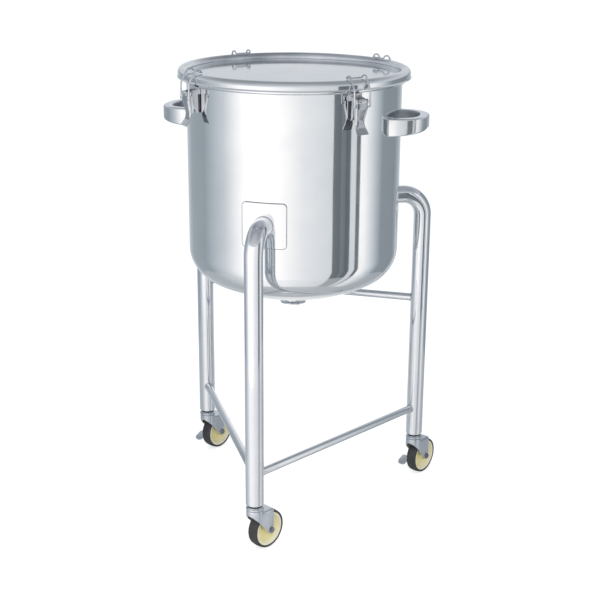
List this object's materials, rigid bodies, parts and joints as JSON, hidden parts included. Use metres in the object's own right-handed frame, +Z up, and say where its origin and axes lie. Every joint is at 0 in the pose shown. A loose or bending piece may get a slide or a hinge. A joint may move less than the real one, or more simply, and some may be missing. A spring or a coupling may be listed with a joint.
{
  "type": "sealed stainless steel tank on caster stand",
  "caption": "Cylindrical polished steel tank with a dished bottom, bottom drain and clip-down lid, carried on a bent-pipe tripod stand with swivel casters.",
  "frame": {"origin": "on the floor, in the middle of the whole footprint, casters included", "axes": "+Z up; -Y is the front, where the single front leg stands; +X to the right, through the right handle"},
  "size_m": [0.5253, 0.4968, 0.8742],
  "materials": {
    "mirror_steel": "mirror polished stainless steel",
    "satin_steel": "satin stainless steel",
    "zinc_steel": "bright zinc plate",
    "tyre_rubber": "matte",
    "hub_nylon": "moulded, semi-matte",
    "gasket_rubber": "matte"
  },
  "bodies": {
    "tank_and_stand": {"caster_stem_front": "zinc_steel", "caster_stem_rear_left": "zinc_steel", "caster_stem_rear_right": "zinc_steel", "clip_base_front_left": "satin_steel", "clip_base_front_right": "satin_steel", "clip_base_rear_left": "satin_steel", "clip_base_rear_right": "satin_steel", "dished_bottom": "mirror_steel", "drain_ferrule": "mirror_steel", "handle_left": "mirror_steel", "handle_right": "mirror_steel", "high_brace_rear": "satin_steel", "leg_front": "mirror_steel", "leg_pad_front": "mirror_steel", "leg_pad_rear_left": "mirror_steel", "leg_pad_rear_right": "mirror_steel", "leg_rear_left": "mirror_steel", "leg_rear_right": "mirror_steel", "lid": "mirror_steel", "lid_gasket": "gasket_rubber", "low_brace_left": "satin_steel", "low_brace_right": "satin_steel", "tank_body": "mirror_steel"},
    "caster_front": {"caster_fork_front": "zinc_steel", "caster_axle_front": "zinc_steel"},
    "wheel_front": {"caster_hub_front": "hub_nylon", "caster_tyre_front": "tyre_rubber"},
    "caster_rear_right": {"caster_fork_rear_right": "zinc_steel", "caster_axle_rear_right": "zinc_steel"},
    "wheel_rear_right": {"caster_hub_rear_right": "hub_nylon", "caster_tyre_rear_right": "tyre_rubber"},
    "pedal_rear_right": {"brake_pedal_rear_right": "zinc_steel"},
    "caster_rear_left": {"caster_fork_rear_left": "zinc_steel", "caster_axle_rear_left": "zinc_steel"},
    "wheel_rear_left": {"caster_hub_rear_left": "hub_nylon", "caster_tyre_rear_left": "tyre_rubber"},
    "pedal_rear_left": {"brake_pedal_rear_left": "zinc_steel"},
    "lever_front_right": {"clip_lever_front_right": "satin_steel"},
    "bail_front_right": {"clip_bail_front_right": "satin_steel"},
    "lever_rear_right": {"clip_lever_rear_right": "satin_steel"},
    "bail_rear_right": {"clip_bail_rear_right": "satin_steel"},
    "lever_rear_left": {"clip_lever_rear_left": "satin_steel"},
    "bail_rear_left": {"clip_bail_rear_left": "satin_steel"},
    "lever_front_left": {"clip_lever_front_left": "satin_steel"},
    "bail_front_left": {"clip_bail_front_left": "satin_steel"}
  },
  "joints": [
    {"name": "swivel_front", "type": "hinge", "parent": "tank_and_stand", "child": "caster_front", "pos_m": [-0.0018, -0.2314, 0.0872], "axis": [0, 0, 1], "continuous": true},
    {"name": "wheel_spin_front", "type": "hinge", "parent": "caster_front", "child": "wheel_front", "pos_m": [0.0115, -0.20585, 0.0375], "axis": [-0.887, 0.4617, 0], "continuous": true},
    {"name": "swivel_rear_right", "type": "hinge", "parent": "tank_and_stand", "child": "caster_rear_right", "pos_m": [0.22614, 0.1634, 0.0872], "axis": [0, 0, 1], "continuous": true},
    {"name": "wheel_spin_rear_right", "type": "hinge", "parent": "caster_rear_right", "child": "wheel_rear_right", "pos_m": [0.23808, 0.18961, 0.0375], "axis": [-0.91, 0.4147, 0], "continuous": true},
    {"name": "brake_pedal_rear_right", "type": "hinge", "parent": "caster_rear_right", "child": "pedal_rear_right", "pos_m": [0.23443, 0.1816, 0.047], "axis": [-0.91, 0.4147, 0], "range_deg": [-20, 0]},
    {"name": "swivel_rear_left", "type": "hinge", "parent": "tank_and_stand", "child": "caster_rear_left", "pos_m": [-0.22974, 0.1634, 0.0872], "axis": [0, 0, 1], "continuous": true},
    {"name": "wheel_spin_rear_left", "type": "hinge", "parent": "caster_rear_left", "child": "wheel_rear_left", "pos_m": [-0.21779, 0.18961, 0.0375], "axis": [-0.91, 0.4147, 0], "continuous": true},
    {"name": "brake_pedal_rear_left", "type": "hinge", "parent": "caster_rear_left", "child": "pedal_rear_left", "pos_m": [-0.22144, 0.1816, 0.047], "axis": [-0.91, 0.4147, 0], "range_deg": [-20, 0]},
    {"name": "clip_lever_front_right", "type": "hinge", "parent": "tank_and_stand", "child": "lever_front_right", "pos_m": [0.15923, -0.12101, 0.8305], "axis": [-0.6884, -0.7254, 0], "range_deg": [0, 150]},
    {"name": "clip_bail_front_right", "type": "hinge", "parent": "lever_front_right", "child": "bail_front_right", "pos_m": [0.16141, -0.12308, 0.8215], "axis": [-0.6884, -0.7254, 0], "range_deg": [-180, 0]},
    {"name": "clip_lever_rear_right", "type": "hinge", "parent": "tank_and_stand", "child": "lever_rear_right", "pos_m": [0.1409, 0.20186, 0.8305], "axis": [0.766, -0.6428, 0], "range_deg": [0, 150]},
    {"name": "clip_bail_rear_right", "type": "hinge", "parent": "lever_rear_right", "child": "bail_rear_right", "pos_m": [0.14283, 0.20416, 0.8215], "axis": [0.766, -0.6428, 0], "range_deg": [-180, 0]},
    {"name": "clip_lever_rear_left", "type": "hinge", "parent": "tank_and_stand", "child": "lever_rear_left", "pos_m": [-0.16149, 0.18601, 0.8305], "axis": [0.6947, 0.7193, 0], "range_deg": [0, 150]},
    {"name": "clip_bail_rear_left", "type": "hinge", "parent": "lever_rear_left", "child": "bail_rear_left", "pos_m": [-0.16365, 0.1881, 0.8215], "axis": [0.6947, 0.7193, 0], "range_deg": [-180, 0]},
    {"name": "clip_lever_front_left", "type": "hinge", "parent": "tank_and_stand", "child": "lever_front_left", "pos_m": [-0.1574, -0.12654, 0.8305], "axis": [-0.7133, 0.7009, 0], "range_deg": [0, 150]},
    {"name": "clip_bail_front_left", "type": "hinge", "parent": "lever_front_left", "child": "bail_front_left", "pos_m": [-0.15951, -0.12868, 0.8215], "axis": [-0.7133, 0.7009, 0], "range_deg": [-180, 0]}
  ],
  "couplings": [
    {"joint": "clip_bail_front_right", "follows": "clip_lever_front_right", "ratio": -1.2},
    {"joint": "clip_bail_rear_right", "follows": "clip_lever_rear_right", "ratio": -1.2},
    {"joint": "clip_bail_rear_left", "follows": "clip_lever_rear_left", "ratio": -1.2},
    {"joint": "clip_bail_front_left", "follows": "clip_lever_front_left", "ratio": -1.2}
  ]
}
